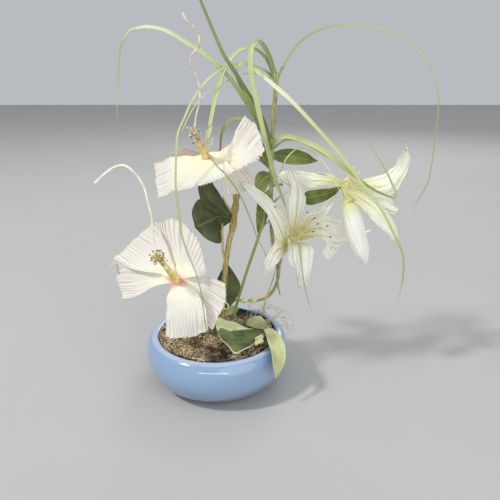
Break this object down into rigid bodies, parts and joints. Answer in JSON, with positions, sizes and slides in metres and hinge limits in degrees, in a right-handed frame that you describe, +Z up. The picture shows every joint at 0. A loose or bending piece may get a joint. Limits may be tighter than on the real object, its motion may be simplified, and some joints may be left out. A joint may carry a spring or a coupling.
{
  "type": "ikebana arrangement",
  "caption": "Free-standing flower arrangement: pleated white hibiscus, white lilies and a bud, arching grass blades and leaves in a low glazed blue bowl filled with moss.",
  "frame": {"origin": "the centre of the bowl's flat foot, on the surface it stands on", "axes": "+Z up along the bowl's axis and the longest extent; -Y the front, which the left hibiscus faces; +X to the right as seen from the front"},
  "size_m": [0.3412, 0.1715, 0.4614],
  "materials": {
    "glaze": "glossy periwinkle-blue glaze",
    "foam": "dull green floral foam",
    "moss": "dry curled fibres",
    "bark": "matt, streaked",
    "cane": "satin",
    "hibiscus_petal": "pleated white cloth",
    "column": "matt",
    "style": "matt",
    "calyx": "matt",
    "dark_leaf": "matt cloth",
    "pale_leaf": "matt cloth",
    "lily_leaf": "satin cloth",
    "lily_petal": "white cloth",
    "anther": "matt",
    "bud": "white cloth",
    "grass": "satin"
  },
  "bodies": {
    "root": {"bowl": "glaze", "foam_block": "foam", "moss": "moss", "hibiscus_stem": "bark", "lily_stem": "cane", "hibiscus_left_petals": "hibiscus_petal", "hibiscus_left_column": "column", "hibiscus_left_style": "style", "hibiscus_left_calyx": "calyx", "hibiscus_top_petals": "hibiscus_petal", "hibiscus_top_column": "column", "hibiscus_top_style": "style", "hibiscus_top_calyx": "calyx", "hibiscus_leaf_upper": "dark_leaf", "hibiscus_leaf_lower": "dark_leaf", "hibiscus_leaf_upright": "dark_leaf", "leaf_small_back": "pale_leaf", "leaf_over_moss": "pale_leaf", "leaf_small_rim": "pale_leaf", "leaf_over_rim": "pale_leaf", "lily_leaf_right": "lily_leaf", "lily_leaf_under": "lily_leaf", "lily_leaf_pale": "lily_leaf", "lily_leaf_left": "lily_leaf", "lily_leaf_low": "lily_leaf", "lily_front_petals": "lily_petal", "lily_front_stamens": "anther", "lily_side_petals": "lily_petal", "lily_side_stamens": "anther", "lily_bud": "bud", "lily_bud_neck": "calyx", "grass_top": "grass", "grass_middle": "grass", "grass_low": "grass", "grass_rim": "grass", "grass_arch": "grass", "grass_short": "grass"}
  },
  "joints": []
}
